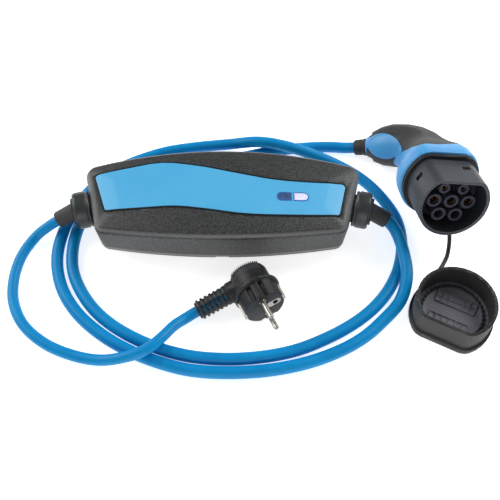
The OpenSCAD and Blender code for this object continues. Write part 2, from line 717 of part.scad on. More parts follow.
// Vehicle connector, in its own frame: contacts face +X, the flat is on top
connector_place = [200.4, 5.8, 55.4];
connector_heading = -83;
connector_pitch = 20;
connector_roll = -10;
connector_gasket_t = 4;
carrier_back = 8;
carrier_plate = 4;
tower_d = 13.4;
small_tower_d = 10.4;
small_bore = 3.2;
contact_wall = 1;
contact_l = 15;
flat_corner = 11;

module at_connector() posed(connector_place, connector_heading, connector_pitch, connector_roll) children();
module at_handle() at_connector() rotate([handle_turn, 0, 0]) children();

power_places = [for (i = [-1:1]) [i * contact_pitch, -1]];
blank_places = [for (i = [-0.5, 0.5]) [i * contact_pitch, -contact_pitch * 0.866 - 1]];
signal_places = [for (i = [-0.55, 0.55]) [i * contact_pitch, contact_pitch * 0.72 - 1]];
tower_tip = shroud_l - tower_recess;

module on_face(places, from) for (p = places) translate([from, p.x, p.y]) rotate([0, 90, 0]) children();

module connector_shroud() color(plastic_black) at_connector() difference() {
    flat_prism(shroud_r, shroud_flat, flat_corner, 0, shroud_l);
    flat_prism(shroud_r - shroud_wall, shroud_flat - shroud_wall, flat_corner - shroud_wall,
               carrier_back, shroud_l + 1);
    translate([10, 8, shroud_flat - 6]) cube([6, 8, 8]);
    rotate([65, 0, 0]) translate([10, -4, shroud_r - 8]) cube([6, 8, 10]);
}

module contact_carrier() color(plastic_black) at_connector() difference() {
    union() {
        flat_prism(shroud_r - shroud_wall - clearance, shroud_flat - shroud_wall - clearance,
                   flat_corner - shroud_wall - clearance, carrier_back, carrier_back + carrier_plate);
        on_face(concat(power_places, blank_places), carrier_back)
            cylinder(d = tower_d, h = tower_tip - carrier_back);
        on_face(signal_places, carrier_back) cylinder(d = small_tower_d, h = tower_tip - carrier_back - 2);
    }
    on_face(concat(power_places, blank_places), tower_tip - contact_l)
        cylinder(d = contact_bore + 2 * contact_wall + 2 * clearance, h = contact_l + 1);
    on_face(signal_places, tower_tip - contact_l)
        cylinder(d = small_bore + 2 * contact_wall + 2 * clearance, h = contact_l + 1);
}

module contact_tube(bore, l) difference() {
    cylinder(d = bore + 2 * contact_wall, h = l);
    translate([0, 0, 2]) cylinder(d = bore, h = l);
}

module power_contacts() color(copper) at_connector()
    on_face(power_places, tower_tip - contact_l) contact_tube(contact_bore, contact_l - 3);
module signal_contacts() color(copper) at_connector()
    on_face(signal_places, tower_tip - contact_l) contact_tube(small_bore, contact_l - 4);

// The gasket carries a lug at its side, which holds the lanyard
lanyard_lug_turn = -70;
lanyard_lug_r = 39.5;
lug_w = 9;
lug_neck = 7;
lug_l = 8;
lug_back = connector_gasket_t - 0.6;
lug_grip = 0.3;

module connector_gasket() color(soft_black) at_connector() difference() {
    union() {
        flat_prism(shroud_r + 3.5, shroud_flat + 3.5, flat_corner + 2, -connector_gasket_t, 0);
        rotate([lanyard_lug_turn, 0, 0]) translate([-lug_back, 0, 0]) {
            translate([0, lanyard_lug_r, 0]) rotate([0, 90, 0]) cylinder(d = lug_w, h = lug_l);
            translate([0, shroud_r + 1, -lug_neck / 2])
                cube([lug_l, lanyard_lug_r - shroud_r - 1, lug_neck]);
        }
    }
    rotate([lanyard_lug_turn, 0, 0]) translate([-connector_gasket_t - 1, lanyard_lug_r, 0])
        rotate([0, 90, 0]) cylinder(d = lanyard_d + 2 * lug_grip, h = lug_l + 2);
}

// Handle: rings along a spine that runs straight back from the gasket and then bends away
bend_start = 50;
bend_length = 42;
function spine_angle(s) = handle_bend * min(max((s - bend_start) / bend_length, 0), 1);
bend_radius = bend_length * 180 / (PI * handle_bend);
function spine_at(s) =
    let (a = spine_angle(s), over = max(s - bend_start - bend_length, 0), lead = min(s, bend_start))
    [-lead - bend_radius * sin(a) - over * cos(a), -bend_radius * (1 - cos(a)) - over * sin(a)];

// Each station: place along the handle, radius, flat height
tail = handle_l;
stations = [
    [connector_gasket_t, body_r - 1.2, body_r - 8.5],
    [connector_gasket_t + 1.5, body_r, body_r - 7.5],
    [18, body_r - 0.5, body_r - 7.5],
    [26, body_r - 3.5, body_r - 8.5],
    [36, body_r - 9, body_r - 12],
    [bend_start - 2, handle_r + 3, handle_r + 2],
    [bend_start + 0.2 * bend_length, handle_r + 1.4, handle_r + 0.8],
    [bend_start + 0.45 * bend_length, handle_r + 0.6, handle_r + 0.2],
    [bend_start + 0.7 * bend_length, handle_r + 0.2, handle_r - 0.2],
    [bend_start + bend_length, handle_r, handle_r - 0.5],
    [tail - 16, handle_r - 2, handle_r - 2.5],
    [tail - 7, handle_r - 6, handle_r - 6.4],
    [tail, handle_r - 10, handle_r - 10.3],
];
grip_first = 2;

// Keeps the flats of the rings in line with the shroud's flat
function turned_back(p) = [p.x * cos(handle_turn) + p.y * sin(handle_turn),
                           p.y * cos(handle_turn) - p.x * sin(handle_turn)];

function station_ring(st, inset) =
    let (at = spine_at(st[0]), a = spine_angle(st[0]), r = st[1] - inset, corner = r * 0.42)
    [for (p = flat_round(r, st[2] - inset, corner))
        let (q = turned_back(p)) [at[0] - q.y * sin(a), q.x, at[1] + q.y * cos(a)]];

module handle_loft(from, to, inset) {
    rings = [for (i = [from:to]) station_ring(stations[i], inset)];
    n = len(rings[0]);
    polyhedron(points = [for (r = rings) each r],
               faces = concat(side_faces(len(rings), n, turn = true), [[for (k = [n - 1:-1:0]) k]],
                              [[for (k = [0:n - 1]) (len(rings) - 1) * n + k]]));
}

last_station = len(stations) - 1;
inlay_l = 46;
inlay_h = 25;
inlay_at = handle_l - 24;
inlay_turn = 57;

// Pointed oval of the side inlays, seen from the side
inlay_steps = 8;
function pointed_oval(l, h) =
    let (r = (l * l + h * h) / (4 * h), half = asin(l / 2 / r),
         upper = arc([0, h / 2 - r], r, 90 - half, 90 + half, inlay_steps),
         lower = arc([0, r - h / 2], r, 270 - half, 270 + half, inlay_steps))
    concat(upper, [for (i = [1:inlay_steps - 1]) lower[i]]);

module inlay_prism(by) {
    at = spine_at(inlay_at);
    translate([at[0], 0, at[1]]) rotate([0, -spine_angle(inlay_at), 0]) rotate([inlay_turn + 90, 0, 0])
        linear_extrude(2 * handle_r + 6, center = true)
            polygon(pointed_oval(inlay_l + 4 * by, inlay_h + 2 * by));
}

// The grip is a closed skin: its rings run forward outside and back inside
module grip_skin() {
    rings = concat([for (i = [last_station - 1:-1:grip_first]) station_ring(stations[i], 0)],
                   [for (i = [grip_first:last_station - 1]) station_ring(stations[i], grip_t)]);
    polyhedron(points = [for (r = rings) each r], faces = side_faces(len(rings), len(rings[0]), true));
}

module connector_body() color(panel_blue) at_handle() difference() {
    union() {
        handle_loft(0, grip_first, 0);
        handle_loft(grip_first, last_station, grip_t);
    }
    at_tail() translate([0, 0, -18]) cylinder(d = charge_d + 2 * sleeve_clear, h = 20);
}

module connector_grip() color(soft_black) at_handle() difference() {
    grip_skin();
    inlay_prism(clearance);
}

module connector_inlays() color(panel_blue) at_handle() intersection() {
    grip_skin();
    inlay_prism(0);
}

boot_l = 13;
boot_d = 17.5;

module at_tail() {
    at = spine_at(tail);
    translate([at[0], 0, at[1]]) rotate([0, -90 - spine_angle(tail), 0]) children();
}

module connector_boot() color(plastic_black) at_handle() at_tail() difference() {
    rotate_extrude()
        polygon([[0, 0], [boot_d / 2, 0], [boot_d / 2, 3], [boot_d / 2 - 1, 4], [boot_d / 2 - 0.6, 5.5],
                 [boot_d / 2 - 1, boot_l - 1], [boot_d / 2 - 2, boot_l], [0, boot_l]]);
    translate([0, 0, -1]) cylinder(d = charge_d + 2 * sleeve_clear, h = boot_l + 2);
}

// Protective cap, lying with its open side up
cap_place = [205, -103];
cap_turn = 153;
cap_corner = 12;
cap_flange = 2.2;
cap_flange_h = 6;
cap_floor = 8;
cap_seat_r = 26;
cap_seat_h = 1.5;
cap_lug_turn = 95;
grid_h = 0.8;
grid_w = 1.2;
grid_pitch = 6;
grid_from = 6;

module cap_prism(by, from, to) {
    translate([0, 0, from]) linear_extrude(to - from)
        polygon(flat_round(cap_r + by, cap_flat + by, cap_corner + by));
}

// Raised grid on the cap's inner floor, in two bands beside a plain stripe
module cap_grid() {
    reach = 3 * grid_pitch;
    for (band = [-1, 1]) translate([0, 0, cap_floor - 0.5]) {
        for (i = [0:2]) translate([-reach, band * (grid_from + i * grid_pitch) - grid_w / 2, 0])
            cube([2 * reach, grid_w, grid_h + 0.5]);
        for (i = [-3:3])
            translate([i * grid_pitch - grid_w / 2, band * (grid_from + grid_pitch) - grid_pitch, 0])
                cube([grid_w, 2 * grid_pitch, grid_h + 0.5]);
    }
}

module protective_cap() color(soft_black) translate([cap_place.x, cap_place.y, 0]) rotate([0, 0, cap_turn]) {
    difference() {
        union() {
            cap_prism(cap_flange, 0, cap_flange_h);
            cap_prism(0, cap_flange_h - 1, cap_h);
            rotate([0, 0, cap_lug_turn - cap_turn]) translate([cap_r - 2, -lug_w / 2, 0])
                cube([lug_l + 4, lug_w, cap_flange_h]);
        }
        cap_prism(-cap_wall, cap_floor, cap_h + 1);
        rotate([0, 0, cap_lug_turn - cap_turn]) translate([cap_r + 2.5, 0, cap_flange_h / 2])
            rotate([0, 90, 0]) cylinder(d = lanyard_d + 2 * lug_grip, h = lug_l + 2);
    }
    cap_grid();
    translate([0, 0, cap_floor - 0.5]) linear_extrude(cap_seat_h + 0.5) difference() {
        polygon(flat_round(cap_seat_r + 2, cap_flat - cap_wall - 4, 9));
        polygon(flat_round(cap_seat_r, cap_flat - cap_wall - 6, 8));
    }
}

upper_shell();
lower_shell();
housing_gasket();
housing_screws();
inlay_panel();
status_window_left();
status_window_right();
circuit_board();
relays();
current_sensor();
power_supply();
mains_terminals();
charging_terminals();
left_gland_body();
left_gland_locknut();
left_gland_nut();
left_gland_seal();
left_bend_sleeve();
right_gland_body();
right_gland_locknut();
right_gland_nut();
right_gland_seal();
right_bend_sleeve();
mains_lead();
plug_body();
plug_pins();
plug_earth_clips();
plug_bend_sleeve();
charging_cable();
connector_body();
connector_grip();
connector_inlays();
connector_boot();
connector_gasket();
connector_shroud();
contact_carrier();
power_contacts();
signal_contacts();
cap_lanyard();
protective_cap();
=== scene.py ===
import math

import bmesh
import bpy
from mathutils import Matrix, Vector


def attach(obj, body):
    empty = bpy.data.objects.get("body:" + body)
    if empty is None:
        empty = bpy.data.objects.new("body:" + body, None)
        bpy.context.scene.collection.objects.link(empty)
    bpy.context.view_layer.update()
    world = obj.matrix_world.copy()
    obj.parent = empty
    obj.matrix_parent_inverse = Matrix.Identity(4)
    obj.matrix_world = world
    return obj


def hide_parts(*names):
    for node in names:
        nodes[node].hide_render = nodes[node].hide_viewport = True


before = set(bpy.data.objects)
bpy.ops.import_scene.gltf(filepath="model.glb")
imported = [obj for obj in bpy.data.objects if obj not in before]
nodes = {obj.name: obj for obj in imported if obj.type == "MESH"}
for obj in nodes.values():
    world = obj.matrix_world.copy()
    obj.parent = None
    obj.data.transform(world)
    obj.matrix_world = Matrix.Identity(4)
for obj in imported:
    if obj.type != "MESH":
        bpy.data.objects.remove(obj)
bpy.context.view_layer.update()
bpy.ops.object.select_all(action="DESELECT")
print("frame loaded:", len(nodes), "nodes")

# camera at the photograph's angle
cameraLook = {
    "aim": (0.0257, -0.031, 0.0), "distance": 0.712, "elevation": 57.0, "lens": 54.0, "sensor": 36.0,
    "clip": 0.01}


def placeCamera(look):
    lift = math.radians(look["elevation"])
    aim = Vector(look["aim"])
    spot = aim + look["distance"] * Vector((0.0, -math.cos(lift), math.sin(lift)))
    bpy.ops.object.camera_add(location=spot, rotation=(math.pi / 2 - lift, 0.0, 0.0))
    camera = bpy.context.object
    camera.name = "photoCamera"
    camera.data.lens = look["lens"]
    camera.data.sensor_width = look["sensor"]
    camera.data.clip_start = look["clip"]
    bpy.context.scene.camera = camera


placeCamera(cameraLook)
print("camera placed")

# shader groups that several finishes share


def startGroup(name, inputs, outputs):
    group = bpy.data.node_groups.new(name, "ShaderNodeTree")
    for label, kind, start in inputs:
        socket = group.interface.new_socket(name=label, in_out="INPUT", socket_type=kind)
        if start is not None:
            socket.default_value = start
    for label, kind in outputs:
        group.interface.new_socket(name=label, in_out="OUTPUT", socket_type=kind)
    return group, group.nodes.new("NodeGroupInput"), group.nodes.new("NodeGroupOutput")


def addNode(tree, kind, **settings):
    node = tree.nodes.new(kind)
    for key, value in settings.items():
        if key in node.inputs:
            node.inputs[key].default_value = value
        else:
            setattr(node, key, value)
    return node


def dotWith(tree, vector, axis):
    dot = addNode(tree, "ShaderNodeVectorMath", operation="DOT_PRODUCT")
    dot.inputs[1].default_value = axis
    tree.links.new(vector, dot.inputs[0])
    return dot.outputs["Value"]


def stepBetween(tree, value, low, high):
    step = tree.nodes.new("ShaderNodeMapRange")
    step.inputs["From Min"].default_value = low
    step.inputs["From Max"].default_value = high
    tree.links.new(value, step.inputs["Value"])
    return step.outputs["Result"]


def joinMasks(tree, operation, first, second):
    both = addNode(tree, "ShaderNodeMath", operation=operation, use_clamp=True)
    tree.links.new(first, both.inputs[0])
    tree.links.new(second, both.inputs[1])
    return both.outputs[0]


def mathWith(tree, operation, value, number):
    worked = addNode(tree, "ShaderNodeMath", operation=operation)
    worked.inputs[1].default_value = number
    tree.links.new(value, worked.inputs[0])
    return worked.outputs[0]


# lays a shade, or what another socket gives, over what feeds this socket
def blendOver(tree, socket, mask, shade):
    blend = addNode(tree, "ShaderNodeMix", data_type="RGBA")
    under, over, blended = blend.inputs[6], blend.inputs[7], blend.outputs[2]  # the node's colour sockets
    tree.links.new(mask, blend.inputs["Factor"])
    tree.links.new(socket.links[0].from_socket, under)
    if isinstance(shade, tuple):
        over.default_value = (*shade, 1.0)
    else:
        tree.links.new(shade, over)
    tree.links.new(blended, socket)


def makeMouldGrain(look):
    group, given, result = startGroup(
        "mouldGrain",
        [("Vector", "NodeSocketVector", None), ("Pebble Scale", "NodeSocketFloat", look["pebbleScale"]),
         ("Cloud Scale", "NodeSocketFloat", look["cloudScale"])],
        [("Height", "NodeSocketFloat"), ("Tone", "NodeSocketFloat"), ("Cloud", "NodeSocketFloat")])
    link = group.links.new
    pebble = addNode(group, "ShaderNodeTexVoronoi", feature="SMOOTH_F1")
    fine = addNode(group, "ShaderNodeTexNoise", Detail=look["fineDetail"], Roughness=look["fineRough"])
    cloud = addNode(group, "ShaderNodeTexNoise", Detail=look["cloudDetail"], Roughness=look["cloudRough"])
    finer = mathWith(group, "MULTIPLY", given.outputs["Pebble Scale"], look["fineShare"])
    link(given.outputs["Vector"], pebble.inputs["Vector"])
    link(given.outputs["Vector"], fine.inputs["Vector"])
    link(given.outputs["Vector"], cloud.inputs["Vector"])
    link(given.outputs["Pebble Scale"], pebble.inputs["Scale"])
    link(finer, fine.inputs["Scale"])
    link(given.outputs["Cloud Scale"], cloud.inputs["Scale"])
    mixed = addNode(group, "ShaderNodeMath", operation="MULTIPLY_ADD")
    mixed.inputs[1].default_value = look["pebbleShare"]
    link(pebble.outputs["Distance"], mixed.inputs[0])
    link(fine.outputs[0], mixed.inputs[2])
    link(mixed.outputs[0], result.inputs["Height"])
    link(fine.outputs[0], result.inputs["Tone"])
    link(cloud.outputs[0], result.inputs["Cloud"])
    return group


def makeHandling(look):
    group, given, result = startGroup(
        "handlingMarks",
        [("Vector", "NodeSocketVector", None), ("Mark Scale", "NodeSocketFloat", look["markScale"])],
        [("Marks", "NodeSocketFloat"), ("Streaks", "NodeSocketFloat")])
    link = group.links.new
    blotch = addNode(group, "ShaderNodeTexNoise", Detail=look["blotchDetail"], Roughness=look["blotchRough"],
                     Distortion=look["distortion"])
    stretch = addNode(group, "ShaderNodeMapping")
    stretch.inputs["Scale"].default_value = look["stretch"]
    streak = addNode(group, "ShaderNodeTexNoise", Detail=look["streakDetail"], Roughness=look["streakRough"])
    link(given.outputs["Vector"], blotch.inputs["Vector"])
    link(given.outputs["Vector"], stretch.inputs["Vector"])
    link(stretch.outputs[0], streak.inputs["Vector"])
    link(given.outputs["Mark Scale"], blotch.inputs["Scale"])
    link(given.outputs["Mark Scale"], streak.inputs["Scale"])
    link(blotch.outputs[0], result.inputs["Marks"])
    link(streak.outputs[0], result.inputs["Streaks"])
    return group


# mask of the rounded edges found by the Bevel node; the finishes use it to paint a highlight along them
def makeEdgeHighlight(look):
    group, given, result = startGroup(
        "paintedEdgeHighlight",
        [("Radius", "NodeSocketFloat", look["radius"]), ("Reach", "NodeSocketFloat", look["reach"])],
        [("Mask", "NodeSocketFloat"), ("Normal", "NodeSocketVector")])
    link = group.links.new
    rounded = addNode(group, "ShaderNodeBevel", samples=look["samples"])
    link(given.outputs["Radius"], rounded.inputs["Radius"])
    flat = group.nodes.new("ShaderNodeNewGeometry")
    match = addNode(group, "ShaderNodeVectorMath", operation="DOT_PRODUCT")
    link(rounded.outputs[0], match.inputs[0])
    link(flat.outputs["Normal"], match.inputs[1])
    away = addNode(group, "ShaderNodeMath", operation="SUBTRACT")
    away.inputs[0].default_value = 1.0
    link(match.outputs["Value"], away.inputs[1])
    share = addNode(group, "ShaderNodeMath", operation="DIVIDE", use_clamp=True)
    link(away.outputs[0], share.inputs[0])
    link(given.outputs["Reach"], share.inputs[1])
    link(share.outputs[0], result.inputs["Mask"])
    link(rounded.outputs[0], result.inputs["Normal"])
    return group


def makeSideOval(look):
    group, given, result = startGroup(
        "sideOval", [("Vector", "NodeSocketVector", None)], [("Mask", "NodeSocketFloat")])
    link = group.links.new
    turn = math.radians(look["turn"])
    along, across = Vector(look["along"]), Vector(look["across"])
    axes = (along * math.cos(turn) - across * math.sin(turn),
            along * math.sin(turn) + across * math.cos(turn))
    radius = (look["length"] ** 2 + look["height"] ** 2) / (4 * look["height"])
    shift = addNode(group, "ShaderNodeVectorMath", operation="SUBTRACT")
    shift.inputs[1].default_value = look["centre"]
    link(given.outputs["Vector"], shift.inputs[0])
    ahead, aside = (dotWith(group, shift.outputs[0], axis) for axis in axes)
    rise = addNode(group, "ShaderNodeMath", operation="ABSOLUTE")
    link(aside, rise.inputs[0])
    lifted = mathWith(group, "ADD", rise.outputs[0], radius - look["height"] / 2)
    pair = addNode(group, "ShaderNodeCombineXYZ")
    link(ahead, pair.inputs["X"])
    link(lifted, pair.inputs["Y"])
    reach = addNode(group, "ShaderNodeVectorMath", operation="LENGTH")
    link(pair.outputs[0], reach.inputs[0])
    oval = stepBetween(group, reach.outputs["Value"], radius, radius - look["soft"])
    slim = mathWith(group, "LESS_THAN", rise.outputs[0], look["neck"])
    behind = mathWith(group, "LESS_THAN", ahead, 0.0)
    neck = joinMasks(group, "MULTIPLY", slim, behind)
    link(joinMasks(group, "MAXIMUM", oval, neck), result.inputs["Mask"])
    return group


# the pointed oval on each side of the grip, seen along the axis of its inlay, with a neck towards the tail
sideOval = makeSideOval({
    "centre": (0.16405, 0.08025, 0.02074), "along": (0.9256, -0.206, 0.3176),
    "across": (-0.0511, 0.7633, 0.644), "turn": 15.0, "length": 0.041, "height": 0.0252, "neck": 0.0055,
    "soft": 0.0003})
mouldGrain = makeMouldGrain({
    "pebbleScale": 1400.0, "cloudScale": 60.0, "fineShare": 0.7, "pebbleShare": 0.6, "fineDetail": 3.0,
    "fineRough": 0.6, "cloudDetail": 4.0, "cloudRough": 0.55})
handlingMarks = makeHandling({
    "markScale": 90.0, "blotchDetail": 5.0, "blotchRough": 0.62, "distortion": 0.4,
    "stretch": (1.0, 6.0, 2.5), "streakDetail": 3.0, "streakRough": 0.5})
paintedEdgeHighlight = makeEdgeHighlight({"radius": 0.0015, "reach": 0.06, "samples": 6})
print("shader groups made")


def rampBetween(tree, value, low, high, lowAt=0.3, highAt=0.7):
    ramp = tree.nodes.new("ShaderNodeValToRGB")
    ramp.color_ramp.elements[0].position = lowAt
    ramp.color_ramp.elements[0].color = (*low, 1.0)
    ramp.color_ramp.elements[1].position = highAt
    ramp.color_ramp.elements[1].color = (*high, 1.0)
    tree.links.new(value, ramp.inputs[0])
    return ramp.outputs["Color"]


def rangeBetween(tree, value, low, high, lowAt=0.25, highAt=0.75):
    span = addNode(tree, "ShaderNodeMapRange")
    span.inputs["From Min"].default_value = lowAt
    span.inputs["From Max"].default_value = highAt
    span.inputs["To Min"].default_value = low
    span.inputs["To Max"].default_value = high
    tree.links.new(value, span.inputs["Value"])
    return span.outputs["Result"]


def mouldedFinish(name, look):
    finish = bpy.data.materials.new(name)
    finish.use_nodes = True
    tree = finish.node_tree
    link = tree.links.new
    shader = tree.nodes["Principled BSDF"]
    place = tree.nodes.new("ShaderNodeTexCoord").outputs["Object"]
    grain = addNode(tree, "ShaderNodeGroup", node_tree=mouldGrain)
    grain.inputs["Pebble Scale"].default_value = look["pebbleScale"]
    grain.inputs["Cloud Scale"].default_value = look["cloudScale"]
    link(place, grain.inputs["Vector"])
    source = "Tone" if look.get("speckled") else "Cloud"
    spread = look.get("spread", (0.3, 0.7))
    colour = rampBetween(tree, grain.outputs[source], look["dark"], look["light"], *spread)
    link(colour, shader.inputs["Base Color"])
    link(rangeBetween(tree, grain.outputs["Cloud"], *look["rough"]), shader.inputs["Roughness"])
    bump = addNode(tree, "ShaderNodeBump", Strength=look["bump"], Distance=look["bumpDepth"])
    link(grain.outputs["Height"], bump.inputs["Height"])
    link(bump.outputs[0], shader.inputs["Normal"])
    # painted highlight: the colour is lightened where the Bevel node rounds the edges
    if "edgeHighlightTint" in look:
        edgeLight = addNode(tree, "ShaderNodeGroup", node_tree=paintedEdgeHighlight)
        edgeLight.inputs["Radius"].default_value = look["edgeHighlightWidth"]
        blendOver(tree, shader.inputs["Base Color"], edgeLight.outputs["Mask"], look["edgeHighlightTint"])
        link(edgeLight.outputs["Normal"], bump.inputs["Normal"])
    shader.inputs["Specular IOR Level"].default_value = look.get("specular", 0.5)
    shader.inputs["Coat Weight"].default_value = look.get("coat", 0.0)
    shader.inputs["Coat Roughness"].default_value = look.get("coatRough", 0.2)
    return finish


def metalFinish(name, look):
    finish = bpy.data.materials.new(name)
    finish.use_nodes = True
    tree = finish.node_tree
    shader = tree.nodes["Principled BSDF"]
    shader.inputs["Metallic"].default_value = 1.0
    place = tree.nodes.new("ShaderNodeTexCoord").outputs["Object"]
    marks = addNode(tree, "ShaderNodeGroup", node_tree=handlingMarks)
    marks.inputs["Mark Scale"].default_value = look["markScale"]
    tree.links.new(place, marks.inputs["Vector"])
    colour = rampBetween(tree, marks.outputs["Marks"], look["dark"], look["light"])
    tree.links.new(colour, shader.inputs["Base Color"])
    tree.links.new(rangeBetween(tree, marks.outputs["Streaks"], *look["rough"]), shader.inputs["Roughness"])
    return finish


# linear colour from a screen colour's code
def tint(code):
    parts = [int(code[i:i + 2], 16) / 255 for i in (1, 3, 5)]
    return tuple(v / 12.92 if v <= 0.04045 else ((v + 0.055) / 1.055) ** 2.4 for v in parts)


finishes = {
    "tray": mouldedFinish("grainedTray", {
        "dark": tint("#3c3b39"), "light": tint("#6b6964"), "spread": (0.41, 0.63), "speckled": True,
        "pebbleScale": 1150.0, "cloudScale": 30.0, "rough": (0.42, 0.54), "bump": 0.5, "bumpDepth": 0.0003}),
    # a near-black finish for the bead laid in the panel's gap as a painted shadow
    "gapShadow": mouldedFinish("panelGapShadow", {
        "dark": tint("#0c0f13"), "light": tint("#15191e"), "pebbleScale": 1800.0, "cloudScale": 60.0,
        "rough": (0.5, 0.6), "bump": 0.05, "bumpDepth": 0.0001, "specular": 0.25}),
    "windowRim": mouldedFinish("windowRim", {
        "dark": tint("#1c5cb0"), "light": tint("#2769bd"), "pebbleScale": 1800.0, "cloudScale": 60.0,
        "rough": (0.3, 0.4), "bump": 0.05, "bumpDepth": 0.0001}),
    "panel": mouldedFinish("satinPanel", {
        "dark": tint("#45a7d8"), "light": tint("#53b2e0"), "pebbleScale": 2600.0, "cloudScale": 9.0,
        "rough": (0.38, 0.46), "bump": 0.06, "bumpDepth": 0.0001}),
    "windowDark": mouldedFinish("darkWindow", {
        "dark": tint("#27406c"), "light": tint("#44608f"), "pebbleScale": 900.0, "cloudScale": 160.0,
        "rough": (0.12, 0.2), "bump": 0.02, "bumpDepth": 0.0001, "coat": 0.5, "coatRough": 0.05}),
    # the hard black, plug black and shroud finishes paint a highlight along their rounded edges
    "hardBlack": mouldedFinish("hardBlackMoulding", {
        "dark": tint("#232729"), "light": tint("#2e3234"), "pebbleScale": 2200.0, "cloudScale": 45.0,
        "rough": (0.36, 0.46), "bump": 0.12, "bumpDepth": 0.0002, "edgeHighlightTint": tint("#66696b"),
        "edgeHighlightWidth": 0.0006}),
    "plugBlack": mouldedFinish("plugBlackMoulding", {
        "dark": tint("#121315"), "light": tint("#1a1b1d"), "pebbleScale": 1700.0, "cloudScale": 60.0,
        "rough": (0.42, 0.54), "bump": 0.16, "bumpDepth": 0.0002, "specular": 0.4,
        "edgeHighlightTint": tint("#55585c"), "edgeHighlightWidth": 0.0005}),
    "softBlack": mouldedFinish("softBlackGrip", {
        "dark": tint("#2d2d2d"), "light": tint("#3c3b3a"), "pebbleScale": 1900.0, "cloudScale": 40.0,
        "rough": (0.56, 0.68), "bump": 0.2, "bumpDepth": 0.0002, "specular": 0.4}),
    "shroudBlack": mouldedFinish("shroudMoulding", {
        "dark": tint("#2a2f35"), "light": tint("#353a40"), "pebbleScale": 2000.0, "cloudScale": 40.0,
        "rough": (0.4, 0.52), "bump": 0.1, "bumpDepth": 0.0002, "edgeHighlightTint": tint("#6c7075"),
        "edgeHighlightWidth": 0.0007}),
    "carrierBlack": mouldedFinish("carrierMoulding", {
        "dark": tint("#32313d"), "light": tint("#403f4b"), "pebbleScale": 2000.0, "cloudScale": 70.0,
        "rough": (0.5, 0.62), "bump": 0.08, "bumpDepth": 0.0002, "specular": 0.15}),
    "steel": metalFinish("platedSteel", {
        "dark": tint("#96938c"), "light": tint("#bdb9b0"), "markScale": 160.0, "rough": (0.3, 0.42)}),
    "copper": metalFinish("contactCopper", {
        "dark": tint("#4a3a30"), "light": tint("#94775c"), "markScale": 300.0, "rough": (0.22, 0.4)}),
    "board": mouldedFinish("boardGreen", {
        "dark": tint("#235a3a"), "light": tint("#31704a"), "pebbleScale": 1200.0, "cloudScale": 90.0,
        "rough": (0.4, 0.55), "bump": 0.1, "bumpDepth": 0.0001}),
    "winding": mouldedFinish("windingYellow", {
        "dark": tint("#b39c36"), "light": tint("#cdb650"), "pebbleScale": 1200.0, "cloudScale": 90.0,
        "rough": (0.45, 0.6), "bump": 0.1, "bumpDepth": 0.0001}),
}


def bandMask(tree, value, rise, fall):
    return joinMasks(tree, "SUBTRACT", stepBetween(tree, value, *rise), stepBetween(tree, value, *fall))


def overlayTint(tree, mask, shade, strength):
    share = mathWith(tree, "MULTIPLY", mask, strength)
    blendOver(tree, tree.nodes["Principled BSDF"].inputs["Base Color"], share, shade)


def housingFinish(look):
    finish = mouldedFinish("grainedHousing", look)
    tree = finish.node_tree
    facing = addNode(tree, "ShaderNodeSeparateXYZ")
    tree.links.new(tree.nodes.new("ShaderNodeNewGeometry").outputs["Normal"], facing.inputs[0])
    # painted highlight along the crest, where the normal turns from top to wall
    crest = bandMask(tree, facing.outputs["Z"], *look["crest"])
    overlayTint(tree, crest, look["crestHighlightTint"], look["crestHighlightShare"])
    height = addNode(tree, "ShaderNodeSeparateXYZ")
    tree.links.new(tree.nodes.new("ShaderNodeTexCoord").outputs["Object"], height.inputs[0])
    strip = bandMask(tree, height.outputs["Z"], *look["strip"])
    overlayTint(tree, strip, look["stripTint"], look["stripShare"])
    return finish


# crest: the rounded edge between top and wall, painted lighter as a highlight, and the housing's edges carry
# the painted edge highlight too; strip: the bead along the shell's lower edge
finishes["housing"] = housingFinish({
    "dark": tint("#121414"), "light": tint("#404241"), "spread": (0.41, 0.63), "speckled": True,
    "pebbleScale": 1050.0, "cloudScale": 30.0, "rough": (0.4, 0.5), "bump": 0.6, "bumpDepth": 0.0003,
    "specular": 0.55, "edgeHighlightTint": tint("#6f706f"), "edgeHighlightWidth": 0.0015,
    "crest": ((0.35, 0.55), (0.75, 0.9)), "crestHighlightTint": tint("#8b8a88"), "crestHighlightShare": 0.4,
    "strip": ((0.009, 0.011), (0.0176, 0.0181)), "stripTint": tint("#8d8883"), "stripShare": 0.6})


def planeMask(tree, place, look):
    normal = Vector(look["normal"]).normalized()
    start = normal.dot(Vector(look["through"]))
    return stepBetween(tree, dotWith(tree, place, normal), start, start + look["soft"])


# two moulded colours that meet along the oval and a pair of planes
def twoColourFinish(name, look):
    finish = mouldedFinish(name, look)
    tree = finish.node_tree
    shader = tree.nodes["Principled BSDF"]
    place = tree.nodes.new("ShaderNodeTexCoord").outputs["Object"]
    oval = addNode(tree, "ShaderNodeGroup", node_tree=sideOval)
    tree.links.new(place, oval.inputs["Vector"])
    wedge = joinMasks(tree, "MULTIPLY", *[planeMask(tree, place, plane) for plane in look["planes"]])
    if look["ovalFilled"]:
        mask = joinMasks(tree, "MAXIMUM", wedge, oval.outputs["Mask"])
    else:
        mask = joinMasks(tree, "SUBTRACT", wedge, oval.outputs["Mask"])
    for socket, other in (("Base Color", look["otherTint"]), ("Roughness", (look["otherRough"],) * 3)):
        blendOver(tree, shader.inputs[socket], mask, other)
    return finish


# the grip is black, with the blue oval and a blue wedge behind the collar
finishes["grip"] = twoColourFinish("gripWithOval", {
    "dark": tint("#262728"), "light": tint("#353534"), "pebbleScale": 1900.0, "cloudScale": 40.0,
    "rough": (0.52, 0.66), "bump": 0.2, "bumpDepth": 0.0002, "specular": 0.45, "otherTint": tint("#489bd4"),
    "otherRough": 0.4, "ovalFilled": True,
    "planes": ({"normal": (0.084, -0.836, -0.541), "through": (0.1691, 0.0577, 0.0358), "soft": 0.0003},
               {"normal": (0.0, -1.0, 0.0), "through": (0.1681, 0.0576, 0.0294), "soft": 0.0003})})
